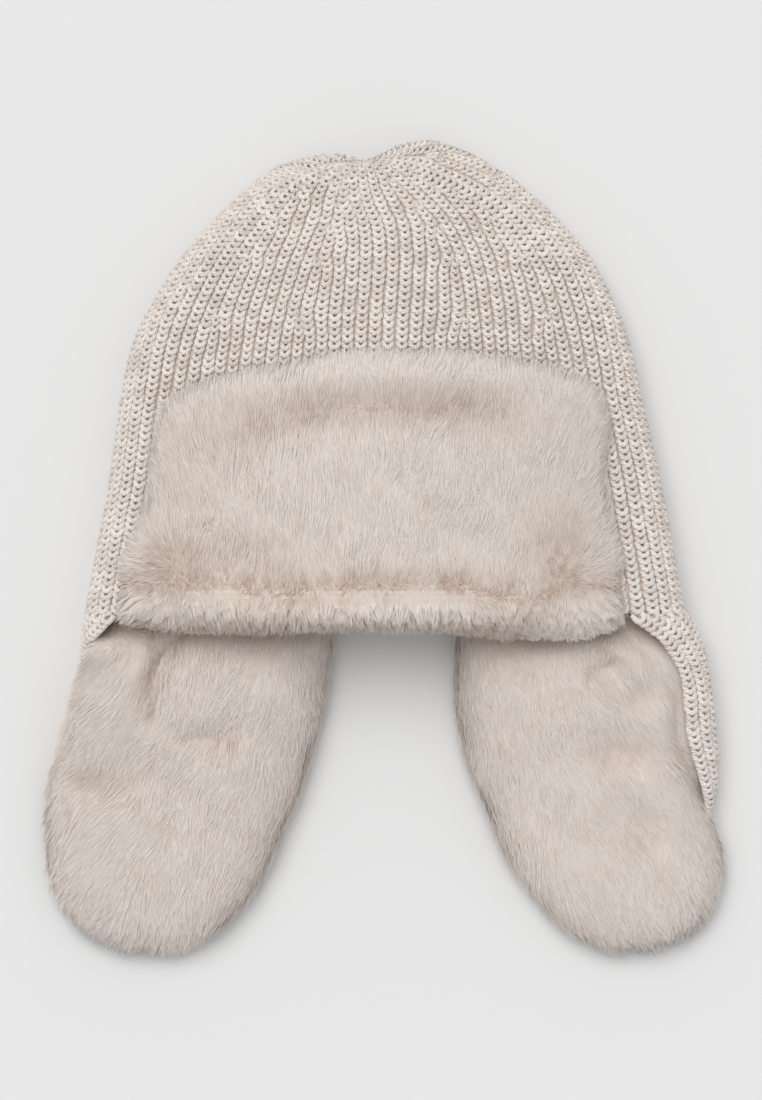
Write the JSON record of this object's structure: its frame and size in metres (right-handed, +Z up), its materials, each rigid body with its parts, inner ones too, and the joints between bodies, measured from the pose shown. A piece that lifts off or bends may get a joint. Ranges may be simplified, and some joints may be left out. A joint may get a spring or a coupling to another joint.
{
  "type": "knitted aviator hat",
  "caption": "Rib-knit aviator hat lying on its back, with a gathered crown, a turned-up fur front flap and two fur-lined ear flaps.",
  "frame": {"origin": "under the middle of the lying hat's footprint, on the surface that it lies on", "axes": "+Z up from the surface the hat lies on, out of its front; +Y from the rim to the top of the crown; +X to the right of the picture"},
  "size_m": [0.2946, 0.359, 0.0686],
  "materials": {
    "knit": "matte chunky rib knit, warm off-white",
    "fur": "soft long-pile faux fur, warm off-white"
  },
  "bodies": {
    "root": {"crown": "knit", "ear_flap_shell_right": "knit", "ear_flap_shell_left": "knit", "ear_flap_fur_right": "fur", "ear_flap_fur_left": "fur", "front_flap_fur": "fur"}
  },
  "joints": []
}
